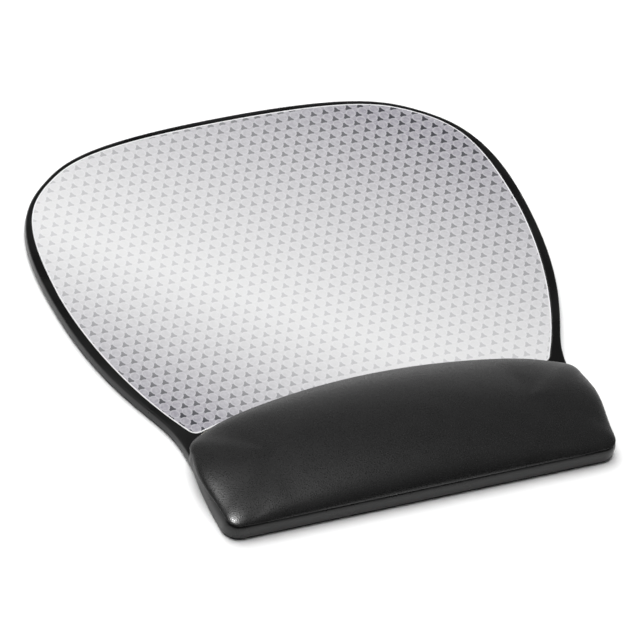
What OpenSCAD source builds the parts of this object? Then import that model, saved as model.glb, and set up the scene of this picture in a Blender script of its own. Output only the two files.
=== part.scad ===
// Mouse pad with a built-in padded wrist rest.
// +Z up, +Y to the far edge of the pad, the user sits at -Y.
// Origin: centre of the footprint, on the desk.

/* [Pad] */
// Half width of the pad at its widest point
pad_half_w = 116.5; // [115:0.5:120]
// Distance from the origin to the far edge, and to the front of the cushion
pad_half_d = 116.5; // [116:0.1:118]
// Top of the rim above the desk
rim_top = 5.4; // [5:0.1:6.4]

/* [Tracking surface] */
// Depth of the film's top below the rim
film_drop = 0.4; // [0.2:0.1:0.6]
// Thickness of the clear textured film
film_t = 0.4; // [0.2:0.1:0.6]
// Thickness of the printed sheet under the film
print_t = 0.3; // [0.2:0.1:0.5]
// Thickness of the adhesive under the printed sheet
surface_glue_t = 0.2; // [0.1:0.1:0.4]
// Gap round the film in its recess
film_gap = 0.3; // [0.1:0.1:0.5]

/* [Underside] */
// Thickness of the anti-slip sheet that meets the desk
grip_t = 0.8; // [0.6:0.1:1.2]
// Thickness of the adhesive between the anti-slip sheet and the tray
grip_glue_t = 0.2; // [0.1:0.1:0.3]
// How far the anti-slip sheet stops short of the tray's wall
grip_inset = 0.7; // [0.5:0.1:3]

/* [Wrist rest] */
// Top of the moulded band under the cushion
band_top = 8.8; // [8:0.1:9.6]
// Highest point of the cushion, in its middle
cushion_top = 17.6; // [17:0.1:22]
// How much lower the cushion is at the ends of its spine
end_drop = 2.5; // [0:0.1:3]
// Height of the cushion's widest line
widest_z = 10; // [9.9:0.1:11]
// How much lower the widest line is along the front
front_sink = 1; // [0:0.1:1]
// How far the cushion bulges past the band along its far side
rear_bulge = 0.5; // [0:0.1:1]
// How far the cushion stops short of the band's wall along its front
front_tuck = 1.4; // [0:0.1:1.6]
// How far it bulges past the band in the middle of its ends
end_bulge = 1.7; // [0:0.1:2]
// Width of the lip that holds the hem of the cover
lip_w = 2.4; // [2:0.1:4]
// Radius of the band's far edge, seen from above
rear_arc_r = 310; // [300:5:360]
// Middle of the band's far edge
rear_mid_y = -49.2; // [-50:0.1:-49]

/* [Cushion layers] */
// Thickness of the leatherette cover
cover_t = 0.8; // [0.6:0.1:1.2]
// Thickness of the soft foam over the gel
foam_t = 1.5; // [1:0.1:2.5]
// Thickness of the gel pack's formed upper film
upper_film_t = 0.3; // [0.2:0.1:0.5]
// Thickness of the gel pack's flat lower film
lower_film_t = 0.2; // [0.1:0.1:0.4]
// Thickness of the stiff board that the cover is pulled round
board_t = 2; // [1.5:0.1:2.2]
// Width of the hem turned under the board
hem_w = 9; // [6:0.5:12]
// Clearance between the hem and the lip
hem_gap = 0.2; // [0.1:0.1:0.4]
// Clearance between the hem and the tape inside it
tape_gap = 0.5; // [0.2:0.1:1]

/* [Hidden] */

corner_steps = 6;        // points round a corner
front_steps = 6;         // points along half of the straight front
rear_steps = 7;          // points along half of the far edge of the rest
cut = 1;                 // how far a cutting shape runs past the face it opens

// Right half of the footprint: smooth spans from the far edge to the front corner,
// each with its start, two handles and its end
widest_y = 41.5;
waist = [92.7, -69.5];
shoulder_point = [90.8, 99.7];
side_point = [98.2, -43.6];
corner_r = 8;
near_setback = 0.5;      // how far the band's near face lies inside the nominal depth
near_y = near_setback - pad_half_d;
front_corner_start = [94.1, near_y + corner_r];
far_span = [[0, pad_half_d], [65, pad_half_d], [79.5, 108], shoulder_point];
upper_span = [shoulder_point, [102.1, 91.4], [pad_half_w, 79.7], [pad_half_w, widest_y]];
lower_span = [[pad_half_w, widest_y], [pad_half_w, -3.7], [105.9, -26.3], side_point];
waist_span = [side_point, [94, -53], [waist.x, -59.5], waist];
rest_span = [waist, [waist.x, -79], [95.2, -84], front_corner_start];

// Right half of the film, from its far edge to its near corner
film_shoulder = [87.7, 99.7];
film_widest = [112.3, 34.4];
film_corner_start = [87.5, -55];
film_corner = [85.8, -58];
film_corner_end = 82.6;  // where the rounded corner meets the near edge
film_near_gap = 2.8;     // rim between the film and the wrist rest
film_near_steps = 8;
film_far_span = [[0, 114], [62, 114], [76.3, 107.5], film_shoulder];
film_upper_span = [film_shoulder, [106, 87.4], [film_widest.x, 75.3], film_widest];
film_lower_span = [film_widest, [film_widest.x, 29.5], [111.5, -14.4], film_corner_start];

// Heights of the flat layers
tray_bottom = grip_t + grip_glue_t;
film_bottom = rim_top - film_drop - film_t;
print_bottom = film_bottom - print_t;
recess_floor = print_bottom - surface_glue_t;
board_bottom = band_top - 1.4;
board_top = board_bottom + board_t;
gel_bottom = board_top + lower_film_t;
pocket_floor = board_bottom - cover_t;

// The cushion is a stack of rings that shrink towards a straight spine
spine_half = 61;
spine_y = (rear_mid_y + near_y) / 2;
spine_reach = (rear_mid_y - near_y) / 2;
dome_steps = 8;
last_angle = 84;         // the last ring stops short of the spine
under_steps = 3;         // points round the underside of the bulge

// Fullness of the dome: 1 is a straight slope, 2 an ellipse, more is boxy
rear_fullness = 1.7;
front_fullness = 2.1;
end_fullness = 2.4;
rear_corner_fullness = 1.5;
front_corner_fullness = 1.6;

// Plan distances in from the edge of the wrist rest
hem_edge = lip_w + hem_gap;
board_edge = hem_edge + cover_t;
hem_end = hem_edge + hem_w;

// ---- Curves ----

// Points along a smooth span, without the last one
function bend(span, steps) =
    [for (i = [0 : steps - 1]) let (t = i / steps, u = 1 - t)
        u * u * u * span[0] + 3 * u * u * t * span[1] + 3 * u * t * t * span[2]
        + t * t * t * span[3]];

// Closed outline from its right half, whose ends lie on the centre line
function both_sides(half) =
    concat(half, [for (i = [len(half) - 2 : -1 : 1]) [-half[i].x, half[i].y]]);

// Outline moved out by a distance, or in where the distance is negative
function grown(p, d) =
    let (n = len(p))
    [for (i = [0 : n - 1])
        let (along = p[(i + 1) % n] - p[(i + n - 1) % n])
        p[i] + d * [-along.y, along.x] / norm(along)];

// ---- Outlines ----

rest_end = bend(rest_span, 6);
front_corner = [for (i = [0 : corner_steps]) let (a = -90 * i / corner_steps)
    front_corner_start + corner_r * [cos(a) - 1, sin(a)]];
front = [for (i = [1 : front_steps])
    [front_corner[corner_steps].x * (1 - i / front_steps), near_y]];
near_end = concat(rest_end, front_corner, front);

footprint = both_sides(concat(
    bend(far_span, 12), bend(upper_span, 12), bend(lower_span, 10), bend(waist_span, 6),
    near_end));

// Far edge of the wrist rest at x
function rear_y(x) = rear_mid_y - rear_arc_r + sqrt(rear_arc_r * rear_arc_r - x * x);

rear_end = 74;           // where the far edge starts to turn into the waist
rear_turn = 4;           // lengths of the two handles of that turn
waist_turn = 5.5;
rear = [for (i = [0 : rear_steps - 1]) let (x = rear_end * i / rear_steps) [x, rear_y(x)]];
rear_corner = [[rear_end, rear_y(rear_end)], [rear_end + rear_turn, rear_y(rear_end + rear_turn)],
               waist + [0, waist_turn], waist];
rest_outline = both_sides(concat(rear, bend(rear_corner, corner_steps), near_end));

function film_near_y(x) = rear_y(x) + film_near_gap;

film_stop = [film_corner_end, film_near_y(film_corner_end)];
film_corner_span = [film_corner_start, (film_corner_start + 2 * film_corner) / 3,
                    (film_stop + 2 * film_corner) / 3, film_stop];
film_near = [for (i = [0 : film_near_steps])
    let (x = film_corner_end * (1 - i / film_near_steps)) [x, film_near_y(x)]];
film_outline = both_sides(concat(
    bend(film_far_span, 12), bend(film_upper_span, 12), bend(film_lower_span, 12),
    bend(film_corner_span, corner_steps), film_near));

// ---- Cushion rings ----

// Point of the spine that an outline point is drawn towards
function spine_point(p) = [min(max(p.x, -spine_half), spine_half), spine_y];

// Wrist rest's outline drawn in towards the spine
function drawn_in(inset) =
    [for (p = rest_outline) p + (spine_point(p) - p) * inset / spine_reach];

function flat_ring(inset, z) = [for (p = drawn_in(inset)) [p.x, p.y, z]];

// 1 at the middle of an end, 0 along the sides
function end_share(p) =
    let (d = p - spine_point(p)) d.x * d.x / (d * d);

// 1 at a corner, 0 along the sides and at the middle of an end
function corner_share(p) =
    let (d = p - spine_point(p)) pow(2 * d.x * d.y / (d * d), 2);

function between(a, b, share) = a + (b - a) * share;

function fullness(p) =
    let (rear = p.y > spine_y,
         side = rear ? rear_fullness : front_fullness,
         corner = rear ? rear_corner_fullness : front_corner_fullness)
    between(between(side, end_fullness, end_share(p)), corner, corner_share(p));

// 1 along the front, 0 at the middle of an end and along the far side
function front_share(p) = p.y > spine_y ? 0 : 1 - end_share(p);

function widest_at(p) = widest_z - front_sink * front_share(p);

// How far the widest line lies outside the band's wall
function bulge_at(p) =
    between(p.y > spine_y ? rear_bulge : -front_tuck, end_bulge,
            end_share(p) * (1 - corner_share(p)));

function top_at(p) = cushion_top - end_drop * pow(spine_point(p).x / spine_half, 2);

// Ring of the dome at an angle, 0 at the widest line and 90 at the spine.
// depth is how far a layer's surface lies under the outside of the cover.
function dome_ring(depth, angle) =
    [for (p = rest_outline)
        let (power = 2 / fullness(p),
             inset = spine_reach
                 - (spine_reach + bulge_at(p) - depth) * pow(cos(angle), power),
             q = p + (spine_point(p) - p) * inset / spine_reach)
        [q.x, q.y, between(widest_at(p), top_at(p) - depth, pow(sin(angle), power))]];

// Underside of the bulge, from the hem to just under the widest line
function under_ring(angle) =
    [for (p = rest_outline)
        let (inset = between(hem_edge, -bulge_at(p), sin(angle)),
             q = p + (spine_point(p) - p) * inset / spine_reach)
        [q.x, q.y, widest_at(p) - (widest_at(p) - band_top) * cos(angle)]];

under = [for (i = [0 : under_steps - 1]) under_ring(90 * i / under_steps)];

// Upper surface of a layer, from the widest line to the crown
function dome(depth) =
    [for (i = [0 : dome_steps - 1]) dome_ring(depth, last_angle * i / (dome_steps - 1))];

// The same, with the layer's foot on the board
function footed_dome(depth) = concat([flat_ring(hem_edge + depth, gel_bottom)], dome(depth));

function backwards(list) = [for (i = [len(list) - 1 : -1 : 0]) list[i]];

// Strip across a ring that starts at point number start, far side to near side
function strip(start) =
    let (n = len(rest_outline), m = n / 2)
    [for (i = [0 : (m - 3) / 2])
        each [[i, i + 1, m - i - 1, m - i],
              [m + i, m + i + 1, n - i - 1, (n - i) % n]]
            + [[start, start, start, start], [start, start, start, start]]];

function flipped(faces) = [for (f = faces) backwards(f)];

// Closed solid through a stack of rings
module ring_solid(rings) {
    n = len(rest_outline);
    m = len(rings);
    sides = [for (k = [0 : m - 2], i = [0 : n - 1]) let (j = (i + 1) % n)
        [(k + 1) * n + j, (k + 1) * n + i, k * n + i, k * n + j]];
    polyhedron([for (ring = rings) each ring],
        concat(sides, flipped(strip(0)), strip((m - 1) * n)), convexity = 6);
}

// Flat layer of an outline between two heights
module layer(outline, from, to) {
    translate([0, 0, from])
        linear_extrude(to - from)
            polygon(outline);
}

// ---- Sub-parts ----

// Moulded tray: pad with a recess for the film, and the band with a pocket for the rest
module base_tray() {
    color("#1b1b1d")
        difference() {
            union() {
                layer(footprint, tray_bottom, rim_top);
                layer(rest_outline, tray_bottom, band_top);
            }
            layer(grown(film_outline, film_gap), recess_floor, rim_top + cut);
            layer(drawn_in(lip_w), pocket_floor, band_top + cut);
        }
}

module anti_slip_sheet() {
    color("#0f0f10")
        layer(grown(footprint, -grip_inset), 0, grip_t);
}

module grip_adhesive() {
    color("#c9b98c")
        layer(grown(footprint, -grip_inset), grip_t, tray_bottom);
}

module surface_adhesive() {
    color("#d8cfb0")
        layer(film_outline, recess_floor, print_bottom);
}

module printed_sheet() {
    color("#dcdce2")
        layer(film_outline, print_bottom, film_bottom);
}

module tracking_film() {
    color("#e6e6ea")
        layer(film_outline, film_bottom, film_bottom + film_t);
}

module rest_tape() {
    color("#e9e4d2")
        layer(drawn_in(hem_end + tape_gap), pocket_floor, board_bottom);
}

module rest_board() {
    color("#8d7a58")
        layer(drawn_in(board_edge), board_bottom, board_top);
}

module gel_lower_film() {
    color("#b9c4cc")
        layer(drawn_in(board_edge), board_top, gel_bottom);
}

module gel_core() {
    color("#5f8fb0")
        ring_solid(footed_dome(cover_t + foam_t + upper_film_t));
}

// A shell between two depths under the outside of the cover
module dome_shell(outer, inner) {
    ring_solid(concat(backwards(footed_dome(inner)), footed_dome(outer)));
}

module gel_upper_film() {
    color("#a9bac6")
        dome_shell(cover_t + foam_t, cover_t + foam_t + upper_film_t);
}

module comfort_foam() {
    color("#d9d2bd")
        dome_shell(cover_t, cover_t + foam_t);
}

// Leatherette pulled over the foam, down between the board and the lip,
// and turned under the board as a hem
module cover_skin() {
    hem = [flat_ring(board_edge, board_bottom), flat_ring(hem_end, board_bottom),
           flat_ring(hem_end, pocket_floor), flat_ring(hem_edge, pocket_floor)];
    color("#242426")
        ring_solid(concat(backwards(footed_dome(cover_t)), hem, under, dome(0)));
}

base_tray();
anti_slip_sheet();
grip_adhesive();
surface_adhesive();
printed_sheet();
tracking_film();
rest_tape();
rest_board();
gel_lower_film();
gel_core();
gel_upper_film();
comfort_foam();
cover_skin();
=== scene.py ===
"""Mouse pad with a padded wrist rest: the looks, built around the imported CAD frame.

Lengths in this file are in millimetres until MM turns them into metres.
"""

import math

import bmesh
import bpy
import numpy as np
from mathutils import Matrix, Vector


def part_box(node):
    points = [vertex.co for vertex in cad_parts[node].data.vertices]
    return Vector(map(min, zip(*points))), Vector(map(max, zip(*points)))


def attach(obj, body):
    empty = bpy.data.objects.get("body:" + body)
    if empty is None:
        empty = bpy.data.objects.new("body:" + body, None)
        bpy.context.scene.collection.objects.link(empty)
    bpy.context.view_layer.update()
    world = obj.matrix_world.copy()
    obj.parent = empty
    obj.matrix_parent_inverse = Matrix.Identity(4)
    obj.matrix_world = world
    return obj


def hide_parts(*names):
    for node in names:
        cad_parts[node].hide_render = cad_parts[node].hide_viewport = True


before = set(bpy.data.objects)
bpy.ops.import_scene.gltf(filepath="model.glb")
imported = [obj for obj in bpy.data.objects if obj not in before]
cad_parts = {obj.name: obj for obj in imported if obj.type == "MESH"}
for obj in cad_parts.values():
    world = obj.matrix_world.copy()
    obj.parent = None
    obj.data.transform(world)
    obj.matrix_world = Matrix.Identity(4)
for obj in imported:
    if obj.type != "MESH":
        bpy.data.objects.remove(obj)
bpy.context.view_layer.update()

MM = 0.001

# ---------------------------------------------------------------- frame sizes


def height(node, top=True):
    """Top or bottom of a CAD node, in millimetres."""
    low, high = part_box(node)
    return (high.z if top else low.z) / MM


TRAY_BOTTOM = height("base_tray", top=False)
BAND_TOP = height("base_tray")
FILM_TOP = height("tracking_film")
FILM_BOTTOM = height("tracking_film", top=False)
RECESS_FLOOR = height("surface_adhesive", top=False)
GRIP_TOP = height("anti_slip_sheet")
POCKET_FLOOR = height("cover_skin", top=False)
CUSHION_TOP = height("cover_skin")
RIM_TOP = FILM_TOP + 0.4


def flat_loops(node, z):
    """Outlines of a CAD node's flat face at height z, the longest first, each an (n, 2) array."""
    mesh = bmesh.new()
    mesh.from_mesh(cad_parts[node].data)
    bmesh.ops.remove_doubles(mesh, verts=mesh.verts, dist=1e-6)
    flat = {f for f in mesh.faces
            if abs(f.normal.z) > 0.99 and all(abs(v.co.z - z * MM) < 2e-5 for v in f.verts)}
    nexts = {}
    for face in flat:
        for loop in face.loops:
            if sum(f in flat for f in loop.edge.link_faces) == 1:
                nexts[loop.vert] = loop.link_loop_next.vert
    loops = []
    while nexts:
        vert, following = nexts.popitem()
        ring = [vert.co.xy / MM]
        while following in nexts:
            ring.append(following.co.xy / MM)
            following = nexts.pop(following)
        loops.append(np.array([tuple(p) for p in ring]))
    mesh.free()
    return sorted(loops, key=lambda r: -np.ptp(r[:, 0]))


def clockwise(ring):
    """The ring with its points running clockwise, seen from above."""
    x, y = ring[:, 0], ring[:, 1]
    area = np.sum(x * np.roll(y, -1) - np.roll(x, -1) * y)
    return ring[::-1] if area > 0 else ring


STRAIGHT = 3.0


def smooth_ring(ring, count):
    """The ring as a smooth curve through its points, cut into count even steps. A step that
    is much longer than its neighbour is a straight side, and sets the direction at its ends."""
    ring = clockwise(ring)
    step = np.roll(ring, -1, 0) - ring
    gap = np.linalg.norm(step, axis=1)[:, None]
    way = step / gap
    gap_before, way_before = np.roll(gap, 1, 0), np.roll(way, 1, 0)
    tangent = (way_before * gap + way * gap_before) / (gap + gap_before)
    tangent = np.where(gap > STRAIGHT * gap_before, way, tangent)
    tangent = np.where(gap_before > STRAIGHT * gap, way_before, tangent)
    start, end = ring[:, None], np.roll(ring, -1, 0)[:, None]
    slope_start, slope_end = (tangent * gap)[:, None], (np.roll(tangent, -1, 0) * gap)[:, None]
    t = np.linspace(0, 1, 12, endpoint=False)[None, :, None]
    dense = ((2 * t**3 - 3 * t**2 + 1) * start + (t**3 - 2 * t**2 + t) * slope_start
             + (3 * t**2 - 2 * t**3) * end + (t**3 - t**2) * slope_end).reshape(-1, 2)
    closed = np.vstack([dense, dense[:1]])
    along = np.concatenate([[0], np.cumsum(np.linalg.norm(np.diff(closed, axis=0), axis=1))])
    wanted = np.linspace(0, along[-1], count, endpoint=False)
    return np.column_stack([np.interp(wanted, along, closed[:, k]) for k in (0, 1)])


def moved_in(ring, distance):
    """A clockwise ring moved in by a distance, or by one distance for each point."""
    along = np.roll(ring, -1, 0) - np.roll(ring, 1, 0)
    normal = np.column_stack([along[:, 1], -along[:, 0]])
    normal /= np.linalg.norm(normal, axis=1)[:, None]
    return ring + normal * np.reshape(distance, (-1, 1))


FOOTPRINT = smooth_ring(flat_loops("base_tray", TRAY_BOTTOM)[0], 520)
FILM_EDGE = smooth_ring(flat_loops("tracking_film", FILM_TOP)[0], 480)
REST_EDGE = clockwise(flat_loops("base_tray", BAND_TOP)[0])

BAND_HALF_WIDTH = 94.1   # along the front
CORNER_RADIUS = 8.0      # of the band's two front corners
CORNER_CENTRE = (BAND_HALF_WIDTH - CORNER_RADIUS, REST_EDGE[:, 1].min() + CORNER_RADIUS)


def sharpened(ring, power):
    """The ring with its two round front corners pushed out; a power of 2 leaves them round."""
    across = np.clip(np.abs(ring[:, 0]) - CORNER_CENTRE[0], 0, None) / CORNER_RADIUS
    along = np.clip(CORNER_CENTRE[1] - ring[:, 1], 0, None) / CORNER_RADIUS
    round_size = np.hypot(across, along)
    size = (across**power + along**power + 1e-12) ** (1 / power)
    push = np.where((across > 0) & (along > 0), round_size / size, 1.0)
    centre = np.column_stack([np.sign(ring[:, 0]) * CORNER_CENTRE[0],
                              np.full(len(ring), CORNER_CENTRE[1])])
    return centre + (ring - centre) * push[:, None]


# ---------------------------------------------------------------- mesh tools


def add_object(name, points, faces):
    """A mesh object from points in millimetres."""
    mesh = bpy.data.meshes.new(name)
    mesh.from_pydata([tuple(np.array(p) * MM) for p in points], [], faces)
    mesh.update()
    obj = bpy.data.objects.new(name, mesh)
    bpy.context.scene.collection.objects.link(obj)
    return obj


def stacked(name, rings, cap_first=True, cap_last=True):
    """A skin over rings of equal point counts, each an (n, 2) array and a height or heights."""
    count = len(rings[0][0])
    points = [(x, y, z) for ring, heights in rings
              for (x, y), z in zip(ring, np.broadcast_to(heights, count))]
    faces = [(k * count + (i + 1) % count, k * count + i,
              (k + 1) * count + i, (k + 1) * count + (i + 1) % count)
             for k in range(len(rings) - 1) for i in range(count)]
    if cap_first:
        faces.append(tuple(range(count)))
    if cap_last:
        faces.append(tuple(reversed(range((len(rings) - 1) * count, len(rings) * count))))
    return add_object(name, points, faces)


def fill_crown(obj, face):
    """Turns the long face along the spine into quads that cross it."""
    ring = list(face.vertices)
    mesh = bmesh.new()
    mesh.from_mesh(obj.data)
    mesh.verts.ensure_lookup_table()
    mesh.faces.ensure_lookup_table()
    start = min(range(len(ring)), key=lambda k: mesh.verts[ring[k]].co.x)
    ring = [mesh.verts[i] for i in ring[start:] + ring[:start]]
    mesh.faces.remove(mesh.faces[face.index])
    last = len(ring) - 1
    mesh.faces.new([ring[0], ring[1], ring[last]])
    for k in range(1, last // 2):
        mesh.faces.new([ring[k], ring[k + 1], ring[last - k], ring[last - k + 1]])
    half = last // 2
    mesh.faces.new([ring[half], ring[half + 1], ring[last - half + 1]])
    bmesh.ops.recalc_face_normals(mesh, faces=mesh.faces)
    mesh.to_mesh(obj.data)
    mesh.free()


def apply_modifiers(obj):
    """Replaces the object's mesh with what its modifiers make of it."""
    bpy.context.view_layer.update()
    graph = bpy.context.evaluated_depsgraph_get()
    mesh = bpy.data.meshes.new_from_object(obj.evaluated_get(graph))
    old = obj.data
    obj.modifiers.clear()
    obj.data = mesh
    mesh.name = obj.name
    bpy.data.meshes.remove(old)


def combine(obj, other, operation):
    """Joins another closed mesh to the object or cuts it out, and removes the other."""
    boolean = obj.modifiers.new("combine", "BOOLEAN")
    boolean.operation = operation
    boolean.solver = "EXACT"
    boolean.object = other
    apply_modifiers(obj)
    bpy.data.objects.remove(other)


def shade(obj, sharp_angle=30):
    """Smooth shading, with edges sharper than an angle in degrees left crisp."""
    mesh = bmesh.new()
    mesh.from_mesh(obj.data)
    for face in mesh.faces:
        face.smooth = True
    for edge in mesh.edges:
        edge.smooth = (len(edge.link_faces) == 2
                       and edge.calc_face_angle(0) < math.radians(sharp_angle))
    mesh.to_mesh(obj.data)
    mesh.free()


def rounded(start, end, corner, steps=5):
    """Profile points of a quarter bend from start to end around a corner."""
    a, b, c = (np.array(p, float) for p in (start, corner, end))
    return [tuple((1 - t) ** 2 * a + 2 * t * (1 - t) * b + t * t * c)
            for t in np.linspace(0, 1, steps)]


# ---------------------------------------------------------------- materials


class Nodes:
    """Short calls that add shader nodes to a new material."""

    def __init__(self, name):
        self.material = bpy.data.materials.new(name)
        self.material.use_nodes = True
        self.tree = self.material.node_tree
        self.shader = self.tree.nodes["Principled BSDF"]

    def add(self, kind, **settings):
        node = self.tree.nodes.new(kind)
        for key, value in settings.items():
            setattr(node, key, value)
        return node

    def link(self, source, target):
        self.tree.links.new(source, target)

    def feed(self, socket, value):
        """Links a socket, or sets a plain value on it."""
        if isinstance(value, bpy.types.NodeSocket):
            self.link(value, socket)
        else:
            socket.default_value = value

    def place(self):
        return self.add("ShaderNodeTexCoord").outputs["Object"]

    def math(self, operation, a, b=0.0):
        node = self.add("ShaderNodeMath", operation=operation)
        for socket, value in zip(node.inputs, (a, b)):
            self.feed(socket, value)
        return node.outputs[0]

    def vector(self, operation, a, b=(0, 0, 0), c=(0, 0, 0)):
        node = self.add("ShaderNodeVectorMath", operation=operation)
        for socket, value in zip(node.inputs, (a, b, c)):
            self.feed(socket, value)
        return node.outputs["Value" if operation in ("LENGTH", "DOT_PRODUCT") else "Vector"]

    def noise(self, size, detail=3.0):
        """Noise whose features are about size millimetres."""
        node = self.add("ShaderNodeTexNoise")
        self.link(self.place(), node.inputs["Vector"])
        node.inputs["Scale"].default_value = 1 / (size * MM)
        node.inputs["Detail"].default_value = detail
        return node.outputs["Fac"]

    def cells(self, size, place):
        """Distance to the edges of cells about size millimetres across."""
        node = self.add("ShaderNodeTexVoronoi", feature="DISTANCE_TO_EDGE")
        self.link(place, node.inputs["Vector"])
        node.inputs["Scale"].default_value = 1 / (size * MM)
        return node.outputs["Distance"]

    def ramp(self, value, low, high, out_low=0.0, out_high=1.0, smooth=True):
        """Value mapped from the range low..high to out_low..out_high."""
        node = self.add("ShaderNodeMapRange",
                        interpolation_type="SMOOTHSTEP" if smooth else "LINEAR")
        sources = (value, low, high, out_low, out_high)
        for socket, item in zip(node.inputs[:5], sources):
            self.feed(socket, item)
        return node.outputs["Result"]

    def mix(self, factor, a, b):
        node = self.add("ShaderNodeMix", data_type="RGBA")
        self.feed(node.inputs["Factor"], factor)
        self.feed(node.inputs["A"], a)
        self.feed(node.inputs["B"], b)
        return node.outputs["Result"]

    def bump(self, height_value, depth, normal=None, strength=1.0):
        """Bump of a given depth in millimetres."""
        node = self.add("ShaderNodeBump")
        node.inputs["Strength"].default_value = strength
        node.inputs["Distance"].default_value = depth * MM
        self.link(height_value, node.inputs["Height"])
        if normal:
            self.link(normal, node.inputs["Normal"])
        return node.outputs["Normal"]

    def set(self, **inputs):
        """Sets or links inputs of the shader; underscores stand for spaces."""
        for key, value in inputs.items():
            self.feed(self.shader.inputs[key.replace("_", " ")], value)


def grey(level):
    return (level, level, level, 1.0)


def leather_material():
    """Black satin leatherette: pebbles under 1 mm across, with finer pores between them."""
    n = Nodes("leatherette")
    place = n.place()
    drift = n.add("ShaderNodeTexNoise")
    n.link(place, drift.inputs["Vector"])
    drift.inputs["Scale"].default_value = 1 / (2.5 * MM)
    shift = n.vector("MULTIPLY_ADD", drift.outputs["Color"], (0.6 * MM,) * 3, place)
    pebbles = n.ramp(n.cells(0.9, shift), 0.0, 0.3)
    pores = n.noise(0.3, 2.0)
    waves = n.noise(16, 1.0)
    bumped = n.bump(waves, 0.2, strength=0.5)
    bumped = n.bump(pebbles, 0.014, bumped)
    bumped = n.bump(pores, 0.004, bumped)
    tone = n.ramp(n.noise(9, 4.0), 0.3, 0.7)
    body = n.mix(tone, grey(0.010), grey(0.014))
    n.set(Base_Color=n.mix(pebbles, grey(0.007), body),
          Roughness=n.ramp(pebbles, 0.0, 1.0, 0.38, 0.26),
          Normal=bumped)
    return n.material


def tray_material():
    """Black moulded polymer with a fine spark-eroded texture."""
    n = Nodes("tray_polymer")
    grain = n.noise(0.45, 4.0)
    clouds = n.ramp(n.noise(22, 3.0), 0.3, 0.7)
    n.set(Base_Color=n.mix(clouds, grey(0.003), grey(0.005)),
          Roughness=n.ramp(clouds, 0.0, 1.0, 0.26, 0.32), IOR=1.45,
          Normal=n.bump(grain, 0.008))
    return n.material


def grip_material():
    """Black rubber sheet with a fine woven imprint."""
    n = Nodes("grip_rubber")
    place = n.place()
    parts = n.add("ShaderNodeSeparateXYZ")
    n.link(place, parts.inputs[0])
    pitch = 2 * math.pi / (1.6 * MM)
    across = n.math("SINE", n.math("MULTIPLY", parts.outputs["X"], pitch))
    along = n.math("SINE", n.math("MULTIPLY", parts.outputs["Y"], pitch))
    weave = n.math("MULTIPLY", across, along)
    worn = n.ramp(n.noise(12, 4.0), 0.35, 0.7)
    n.set(Base_Color=n.mix(worn, grey(0.008), grey(0.014)), Roughness=0.9,
          Normal=n.bump(n.noise(0.3), 0.03, n.bump(weave, 0.12)))
    return n.material


def plain_material(name, dark, light, size, roughness, depth=0.02, **extra):
    """A material whose tone drifts between two colours over patches of a size."""
    n = Nodes(name)
    patches = n.ramp(n.noise(size, 4.0), 0.3, 0.7)
    n.set(Base_Color=n.mix(patches, (*dark, 1), (*light, 1)), Roughness=roughness,
          Normal=n.bump(n.noise(size / 12, 3.0), depth), **extra)
    return n.material


DOT_PITCH = 5.75         # between dots along a row
DOT_RADIUS = 2.33
HIGHLIGHT_TURN = math.radians(48.7)   # direction across the painted highlight band
HIGHLIGHT_MIDDLE = -12.0   # middle of the painted highlight band along that direction, where it is brightest
FAR_HIGHLIGHT_FADE = 137           # distance from there to where the painted highlight has faded out, towards the far corner
NEAR_HIGHLIGHT_FADE = 80           # the same, towards the near corner


def lattice_distance(n, place, offset):
    """Distance in millimetres to the nearest point of the dot lattice moved by an offset."""
    cell = (DOT_PITCH, DOT_PITCH * math.sqrt(3), 1e6)
    half = tuple(c / 2 for c in cell)
    found = []
    for shift in ((0, 0), (half[0], half[1])):
        start = (half[0] - offset[0] - shift[0], half[1] - offset[1] - shift[1], 0)
        moved = n.vector("MULTIPLY_ADD", place, (1 / MM, 1 / MM, 0), start)
        wrapped = n.vector("WRAP", moved, cell, (0, 0, -1))
        found.append(n.vector("LENGTH", n.vector("SUBTRACT", wrapped, (half[0], half[1], 0))))
    return n.math("MINIMUM", *found)


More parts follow.
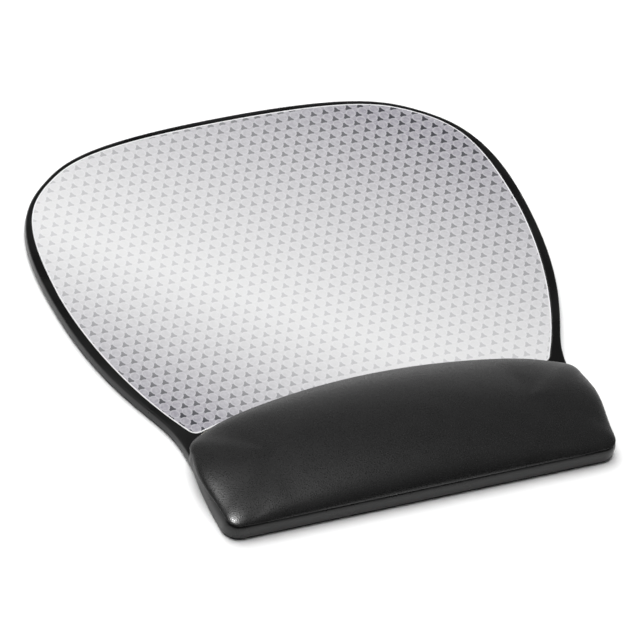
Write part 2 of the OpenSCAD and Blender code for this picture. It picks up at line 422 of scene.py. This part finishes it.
def print_and_highlight_material():
    """Silver-grey print: close-packed dots with light rings, and a dark dart in every
    second gap. A painted highlight band across the pad lightens the ground and the darts,
    so the print's contrast fades there."""
    n = Nodes("dot_print_painted_highlight")
    place = n.place()
    row = DOT_PITCH * math.sqrt(3) / 2
    dot = lattice_distance(n, place, (0, 0))
    dark_site = lattice_distance(n, place, (0, row * 2 / 3))
    light_site = lattice_distance(n, place, (0, -row * 2 / 3))

    # Painted highlight: strength is 0 in the middle of a band across the pad and grows to 1 away
    # from it.
    direction = (math.cos(HIGHLIGHT_TURN), math.sin(HIGHLIGHT_TURN), 0)
    across = n.math("DIVIDE", n.vector("DOT_PRODUCT", place, direction), MM)
    far_share = n.ramp(across, HIGHLIGHT_MIDDLE, HIGHLIGHT_MIDDLE + FAR_HIGHLIGHT_FADE, smooth=False)
    near_share = n.ramp(across, HIGHLIGHT_MIDDLE, HIGHLIGHT_MIDDLE - NEAR_HIGHLIGHT_FADE, smooth=False)
    strength = n.math("ADD", n.math("POWER", far_share, 1.3), n.math("POWER", near_share, 1.4))

    outside = n.ramp(dot, DOT_RADIUS - 0.08, DOT_RADIUS + 0.14)
    nearer = n.ramp(n.math("SUBTRACT", light_site, dark_site), -0.2, 0.3)
    dart = n.math("MULTIPLY", outside, nearer)
    ring_in = n.ramp(dot, DOT_RADIUS - 0.65, DOT_RADIUS - 0.3)
    ring_out = n.ramp(dot, DOT_RADIUS + 0.1, DOT_RADIUS - 0.1)
    ring = n.math("MULTIPLY", ring_in, ring_out)
    grain = n.ramp(n.noise(1.6, 3.0), 0.35, 0.65)

    # Painted highlight: inside the band the ground and the darts are painted lighter, which fades
    # the print's contrast.
    ground = n.mix(strength, (0.62, 0.62, 0.62, 1), (0.26, 0.25, 0.28, 1))
    mottled = n.mix(n.math("MULTIPLY", grain, 0.18), ground, (0.66, 0.66, 0.68, 1))
    ringed = n.mix(n.math("MULTIPLY", ring, 0.2), mottled, (0.74, 0.74, 0.76, 1))
    dark = n.mix(strength, (0.50, 0.50, 0.51, 1), (0.042, 0.042, 0.05, 1))
    n.set(Base_Color=n.mix(dart, ringed, dark), Roughness=0.38,
          Normal=n.bump(n.noise(0.35, 2.0), 0.006))
    return n.material


def border_material():
    """Unprinted white margin of the film."""
    return plain_material("film_margin", (0.68, 0.68, 0.69), (0.74, 0.74, 0.75), 20, 0.35, 0.004)


def use(obj, *materials):
    obj.data.materials.clear()
    for material in materials:
        obj.data.materials.append(material)


def finish_piece(obj, slot, *nodes):
    """Rides a piece on the part's one body in place of CAD nodes."""
    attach(obj, "root")
    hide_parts(*nodes)


# ---------------------------------------------------------------- tray

WAIST_Y = -69.5          # where the pad's wall meets the band's
WAIST_BLEND = 15         # length past the waist over which the wall moves inside the band
TUCK = 3.0               # how far inside the band it ends up
RECESS_GAP = 0.3         # round the film
BAND_POINT = 0.6         # how much more pointed the band's front corners are at its top


def pad_body():
    """Pad part of the tray, with soft edges; past the waist it hides inside the band."""
    past = np.clip((WAIST_Y - FOOTPRINT[:, 1]) / WAIST_BLEND, 0, 1)
    tuck = TUCK * past * past * (3 - 2 * past)
    profile = rounded((0.9, TRAY_BOTTOM), (0, TRAY_BOTTOM + 0.9), (0, TRAY_BOTTOM))
    profile += rounded((0.05, RIM_TOP - 1.0), (0.9, RIM_TOP), (0.1, RIM_TOP))
    rings = [(moved_in(FOOTPRINT, inset + tuck), z) for inset, z in profile]
    return stacked("base_tray_piece", rings)


def rest_band():
    """Raised band with a rounded foot, a wide soft shoulder and the pocket inside it."""
    edge = smooth_ring(REST_EDGE, 440)
    foot = [(0.7, TRAY_BOTTOM), (0.45, TRAY_BOTTOM + 0.1), (0.2, 1.4), (0.06, 1.9)]
    wall = [(0, 2.5), (0, 4.0), (0.02, 5.0), (0.08, 5.7), (0.2, 6.4), (0.38, 7.0)]
    shoulder = [(0.6, 7.5), (0.86, 7.95), (1.2, 8.35), (1.6, 8.6), (2.0, 8.72), (2.3, 8.7)]
    pocket = [(2.4, 8.5), (2.4, POCKET_FLOOR)]
    rings = []
    for inset, z in foot + wall + shoulder + pocket:
        pointed = 2 + BAND_POINT * (z - TRAY_BOTTOM) / (BAND_TOP - TRAY_BOTTOM)
        rings.append((moved_in(sharpened(edge, pointed), inset), z))
    return stacked("band", rings)


def build_tray():
    """Moulded tray: pad and band in one, with the recess for the film cut out."""
    tray = pad_body()
    combine(tray, rest_band(), "UNION")
    recess = moved_in(FILM_EDGE, -RECESS_GAP)
    bevel = 0.15
    opening = moved_in(recess, -bevel)
    cutter = [(recess, RECESS_FLOOR), (recess, RIM_TOP - bevel),
              (opening, RIM_TOP), (opening, RIM_TOP + 1)]
    combine(tray, stacked("recess", cutter), "DIFFERENCE")
    shade(tray, 32)
    use(tray, tray_material())
    finish_piece(tray, "tray_polymer", "base_tray")


# ---------------------------------------------------------------- film and underside

MARGIN = 0.6             # white margin round the print
GRIP_INSET = 0.7         # how far the anti-slip sheet stops short of the tray's wall


def build_film():
    """Textured film: the print's field, and the white margin as faces of their own."""
    inner = moved_in(FILM_EDGE, MARGIN)
    edge_drop = 0.06
    rings = [(FILM_EDGE, FILM_BOTTOM), (FILM_EDGE, FILM_TOP - edge_drop),
             (moved_in(FILM_EDGE, edge_drop), FILM_TOP), (inner, FILM_TOP)]
    film = stacked("tracking_film_piece", rings)
    shade(film, 25)
    use(film, print_and_highlight_material(), border_material())
    for face in film.data.polygons:
        on_margin = abs(face.normal.z) > 0.5 and len(face.vertices) == 4
        face.material_index = 1 if on_margin else 0
    finish_piece(film, "surface_film", "tracking_film")


def build_grip():
    """Anti-slip sheet with a softened lower edge."""
    edge = moved_in(FOOTPRINT, GRIP_INSET)
    rings = [(moved_in(edge, 0.2), 0.0), (edge, 0.2), (edge, GRIP_TOP)]
    sheet = stacked("anti_slip_piece", rings)
    shade(sheet, 25)
    use(sheet, grip_material())
    finish_piece(sheet, "grip_rubber", "anti_slip_sheet")


# ---------------------------------------------------------------- cushion

SPINE_HALF = 61.0        # the cushion's rings shrink towards a spine of this half length
END_DROP = 2.5           # how much lower the ends of the spine are than its middle
WIDEST_Z = BAND_TOP + 1.2
REAR_BULGE = 0.5         # how far the widest line lies outside the band's wall
END_BULGE = 2.2          # the same, in the middle of an end
FRONT_TUCK = 0.9         # how far the widest line stops short of the wall along the front
REAR_CORNER_TUCK = 0.9   # how much less the cushion bulges at its two rear corners
HEM_EDGE = 2.6           # outer edge of the hem, from the band's wall
HEM_END = 11.6           # inner edge of the hem
COVER_T = 0.7            # thickness of the cover

# Fullness of the dome: 1 is a straight slope, 2 an ellipse, more is boxy
FULLNESS = {"rear": 1.7, "front": 2.1, "end": 2.4, "rear_corner": 1.5, "front_corner": 1.6}
FRONT_SINK = 1.2         # how much lower the widest line is along the front
FRONT_SLOPE = 0.6        # how far the foot of the front slope runs out
CORNER_DIP = 0.3         # how far the widest line dips at the two front corners
CORNER_POINT = 0.7       # how pointed the cushion is at those corners

SPINE_Y = (REST_EDGE[:, 1].min() + REST_EDGE[:, 1].max()) / 2
SPINE_REACH = (REST_EDGE[:, 1].max() - REST_EDGE[:, 1].min()) / 2


class CushionOutline:
    """The wrist rest's edge, the spine points it shrinks towards, and the dome's shape at
    each point of the edge."""

    def __init__(self, count):
        self.edge = smooth_ring(REST_EDGE, count)
        spine_x = np.clip(self.edge[:, 0], -SPINE_HALF, SPINE_HALF)
        self.spine = np.column_stack([spine_x, np.full(count, SPINE_Y)])
        dx, dy = (self.edge - self.spine).T
        size = dx * dx + dy * dy
        rear = dy > 0
        self.end = dx * dx / size                    # 1 in the middle of an end
        self.corner = (2 * dx * dy / size) ** 2      # 1 at a corner
        side = np.where(rear, FULLNESS["rear"], FULLNESS["front"])
        corner = np.where(rear, FULLNESS["rear_corner"], FULLNESS["front_corner"])
        flat = side + (FULLNESS["end"] - side) * self.end
        self.fullness = flat + (corner - flat) * self.corner
        side_bulge = np.where(rear, REAR_BULGE, -FRONT_TUCK)
        self.bulge = side_bulge + (END_BULGE - side_bulge) * self.end * (1 - self.corner)
        self.bulge -= np.where(rear, REAR_CORNER_TUCK * self.corner, 0.0)
        self.front = np.where(rear, 0.0, 1 - self.end)
        self.widest = WIDEST_Z - FRONT_SINK * self.front
        self.top = CUSHION_TOP - END_DROP * (spine_x / SPINE_HALF) ** 2
        self.tip = np.where(rear, 0.0, self.corner**6)

    def inset(self, distance, power=2.0):
        """The edge drawn in towards the spine by a distance, or one for each point."""
        edge = sharpened(self.edge, power)
        share = np.broadcast_to(distance, len(edge))[:, None] / SPINE_REACH
        return edge + (self.spine - edge) * share

    def hem(self):
        """Rings of the hem that is tucked into the pocket."""
        floor = POCKET_FLOOR + 0.05
        return [(self.inset(HEM_END), floor), (self.inset(HEM_EDGE + 3), floor),
                (self.inset(HEM_EDGE + 0.6), floor), (self.inset(HEM_EDGE + 0.1), floor + 0.5),
                (self.inset(HEM_EDGE + 0.1), BAND_TOP - 0.6)]

    def underside(self, steps=6):
        """Rings from the hem round the underside of the bulge."""
        rings = []
        foot = self.bulge + FRONT_SLOPE * self.front
        for k in range(steps):
            angle = math.pi / 2 * k / steps
            out = math.sin(angle)
            inset = HEM_EDGE * (1 - out) - foot * out
            z = self.widest - (self.widest - BAND_TOP) * math.cos(angle)
            dip = CORNER_DIP * self.tip * out
            rings.append((self.inset(inset, 2 + CORNER_POINT * out), z - dip))
        return rings

    def dome(self, steps=26, last=0.99):
        """Rings from the widest line up to just short of the spine."""
        rings = []
        for k in range(steps):
            angle = math.pi / 2 * last * k / (steps - 1)
            across = math.cos(angle) ** (2 / self.fullness)
            rise = math.sin(angle) ** (2 / self.fullness)
            slope = FRONT_SLOPE * self.front * (1 - rise) ** 4
            inset = SPINE_REACH - (SPINE_REACH + self.bulge) * across - slope
            z = self.widest + (self.top - self.widest) * rise
            dip = CORNER_DIP * self.tip * (1 - rise) ** 2
            power = 2 + CORNER_POINT * math.cos(angle) ** 2
            rings.append((self.inset(inset, power), z - dip))
        return rings


def inflate(cover, free, frames=20, most=0.6):
    """Blows the cover up as cloth. Points outside the free mask stay, the others only move
    outwards and by a few tenths of a millimetre, so that the cushion keeps its size."""
    rest = np.array([v.co for v in cover.data.vertices])
    normals = np.array([v.normal for v in cover.data.vertices])
    pins = cover.vertex_groups.new(name="pins")
    pins.add([int(i) for i in np.flatnonzero(~free)], 1.0, "REPLACE")
    cloth = cover.modifiers.new("cloth", "CLOTH")
    settings = cloth.settings
    settings.vertex_group_mass = "pins"
    settings.quality = 6
    settings.mass = 0.3
    settings.tension_stiffness = 40
    settings.compression_stiffness = 40
    settings.bending_stiffness = 2
    settings.use_pressure = True
    settings.uniform_pressure_force = 4
    settings.effector_weights.gravity = 0
    cloth.point_cache.frame_start = 1
    cloth.point_cache.frame_end = frames
    scene = bpy.context.scene
    for number in range(1, frames + 1):
        scene.frame_set(number)
    graph = bpy.context.evaluated_depsgraph_get()
    blown = np.array([v.co for v in cover.evaluated_get(graph).data.vertices])
    cover.modifiers.clear()
    cover.vertex_groups.clear()
    scene.frame_set(1)
    outward = ((blown - rest) * normals).sum(1)
    rise = most * MM * np.tanh(np.clip(outward, 0, None) / (most * MM))
    for vert, point in zip(cover.data.vertices, rest + normals * rise[:, None]):
        vert.co = point


def soften_crown(cover, start=11.5, full=14.5, rounds=40):
    """Smooths the top of the cushion, where its rings meet at the spine."""
    group = cover.vertex_groups.new(name="crown")
    for vert in cover.data.vertices:
        share = (vert.co.z / MM - start) / (full - start)
        if share > 0:
            group.add([vert.index], min(share, 1.0), "REPLACE")
    smooth = cover.modifiers.new("soften", "SMOOTH")
    smooth.factor = 0.5
    smooth.iterations = rounds
    smooth.vertex_group = "crown"
    apply_modifiers(cover)


def build_cushion():
    """Padded cover, from the hem in the pocket over the dome to the crown."""
    outline = CushionOutline(300)
    hem = outline.hem() + outline.underside()
    rings = hem + outline.dome()
    cover = stacked("cushion_cover", rings, cap_first=False)
    crown = cover.data.polygons[-1]
    free = np.ones(len(cover.data.vertices), bool)
    free[:len(hem) * len(outline.edge)] = False
    fill_crown(cover, crown)
    free = np.append(free, np.ones(len(cover.data.vertices) - len(free), bool))
    inflate(cover, free)
    soften_crown(cover)
    solid = cover.modifiers.new("thickness", "SOLIDIFY")
    solid.thickness = COVER_T * MM
    solid.offset = -1
    smooth = cover.modifiers.new("smooth", "SUBSURF")
    smooth.levels = smooth.render_levels = 1
    apply_modifiers(cover)
    shade(cover, 60)
    use(cover, leather_material())
    finish_piece(cover, "cover_leather", "cover_skin")


# ---------------------------------------------------------------- hidden layers


def dress_hidden_layers():
    """Materials of the CAD nodes that lie inside the pad and the cushion."""
    glue = plain_material("adhesive", (0.62, 0.55, 0.40), (0.72, 0.66, 0.50), 15, 0.5)
    black_glue = plain_material("black_adhesive", (0.006,) * 3, (0.01,) * 3, 15, 0.6)
    film = plain_material("gel_film", (0.52, 0.58, 0.62), (0.60, 0.66, 0.70), 18, 0.3)
    tape = plain_material("foam_tape", (0.76, 0.74, 0.68), (0.86, 0.84, 0.78), 3, 0.9, 0.1)
    board = plain_material("greyboard", (0.34, 0.29, 0.21), (0.45, 0.39, 0.29), 4, 0.9, 0.08)
    gel = plain_material("gel", (0.10, 0.26, 0.40), (0.16, 0.34, 0.48), 25, 0.15)
    foam = plain_material("foam", (0.66, 0.62, 0.50), (0.78, 0.74, 0.62), 2, 0.95, 0.25)
    looks = {
        "grip_adhesive": black_glue,
        "surface_adhesive": glue,
        "printed_sheet": print_and_highlight_material(),
        "rest_tape": tape,
        "rest_board": board,
        "gel_lower_film": film,
        "gel_upper_film": film,
        "gel_core": gel,
        "comfort_foam": foam,
    }
    for node, material in looks.items():
        use(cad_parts[node], material)


# ---------------------------------------------------------------- camera, floor and light

AIM = Vector((-0.0018, -0.0054, 0.0))         # metres, like the camera's and lights' places
VIEW_AZIMUTH = math.radians(-33.68)
VIEW_ELEVATION = math.radians(45.739)
VIEW_ROLL = math.radians(14.109)
VIEW_DISTANCE = 3.516
LENS = 450.0


def add_camera():
    """Telephoto camera at the photo's angle."""
    azimuth, elevation = VIEW_AZIMUTH, VIEW_ELEVATION
    back = Vector((math.sin(azimuth) * math.cos(elevation),
                   -math.cos(azimuth) * math.cos(elevation), math.sin(elevation)))
    right = Vector((math.cos(azimuth), math.sin(azimuth), 0))
    up = back.cross(right)
    c, s = math.cos(VIEW_ROLL), math.sin(VIEW_ROLL)
    turned_right, turned_up = c * right + s * up, c * up - s * right
    camera = bpy.data.objects.new("camera", bpy.data.cameras.new("camera"))
    rows = [(turned_right[k], turned_up[k], back[k], (AIM + back * VIEW_DISTANCE)[k])
            for k in range(3)]
    camera.matrix_world = Matrix(rows + [(0, 0, 0, 1)])
    camera.data.lens = LENS
    camera.data.clip_end = 50
    bpy.context.scene.collection.objects.link(camera)
    bpy.context.scene.camera = camera


def add_floor():
    """Plain pale studio floor."""
    half_size = 6000
    corners = np.array([(-1, 1), (1, 1), (1, -1), (-1, -1)]) * half_size
    floor = stacked("floor", [(corners, 0.0)], cap_first=False)
    use(floor, plain_material("studio_floor", (0.90,) * 3, (0.92,) * 3, 900, 0.9, 0.0))


def add_area(name, place, aim, width, depth, power, glossy=True):
    data = bpy.data.lights.new(name, "AREA")
    data.shape = "RECTANGLE"
    data.size = width
    data.size_y = depth
    data.energy = power
    light = bpy.data.objects.new(name, data)
    light.location = place
    light.rotation_euler = (Vector(aim) - Vector(place)).to_track_quat("-Z", "Y").to_euler()
    light.visible_glossy = glossy
    light.visible_camera = False
    bpy.context.scene.collection.objects.link(light)
    return light


WALL_GLOW = 1.6
ROOM_GLOW = 0.06


def add_world():
    """Dim studio with a pale wall behind the pad; the camera sees white all round."""
    world = bpy.data.worlds.new("studio")
    world.use_nodes = True
    tree = world.node_tree
    tree.nodes.clear()
    place = tree.nodes.new("ShaderNodeTexCoord").outputs["Generated"]
    parts = tree.nodes.new("ShaderNodeSeparateXYZ")
    tree.links.new(place, parts.inputs[0])

    def ramp(source, low, high, out_low, out_high):
        node = tree.nodes.new("ShaderNodeMapRange")
        node.interpolation_type = "SMOOTHSTEP"
        tree.links.new(source, node.inputs["Value"])
        for name, value in (("From Min", low), ("From Max", high),
                            ("To Min", out_low), ("To Max", out_high)):
            node.inputs[name].default_value = value
        return node.outputs["Result"]

    def combined(operation, first, second):
        node = tree.nodes.new("ShaderNodeMath")
        node.operation = operation
        for socket, value in zip(node.inputs, (first, second)):
            if isinstance(value, bpy.types.NodeSocket):
                tree.links.new(value, socket)
            else:
                socket.default_value = value
        return node.outputs[0]

    behind = ramp(parts.outputs["Y"], 0.1, 0.7, 0.0, 1.0)
    low = ramp(parts.outputs["Z"], 0.05, 0.6, 1.0, 0.0)
    wall = combined("MULTIPLY", combined("MULTIPLY", behind, low), WALL_GLOW)
    dim = combined("ADD", wall, ROOM_GLOW)
    camera_sees = tree.nodes.new("ShaderNodeLightPath").outputs["Is Camera Ray"]
    background = tree.nodes.new("ShaderNodeBackground")
    background.inputs["Color"].default_value = (1, 1, 1, 1)
    tree.links.new(combined("MAXIMUM", dim, camera_sees), background.inputs["Strength"])
    output = tree.nodes.new("ShaderNodeOutputWorld")
    tree.links.new(background.outputs[0], output.inputs["Surface"])
    bpy.context.scene.world = world


def add_lights():
    """A big soft light overhead, and a small one that only glints on the near left corner."""
    add_world()
    add_area("overhead", (-0.3, 0.5, 2.2), (0, 0, 0), 2.2, 2.2, 84, glossy=False)
    sparkle = add_area("sparkle", (-0.26, -0.03, 1.18), (-0.09, -0.11, 0.01), 0.16, 0.12, 14)
    sparkle.visible_diffuse = False
    bpy.context.scene.view_settings.view_transform = "Standard"


# ---------------------------------------------------------------- the scene

add_camera()
add_floor()
add_lights()
build_tray()
build_film()
build_grip()
build_cushion()
dress_hidden_layers()
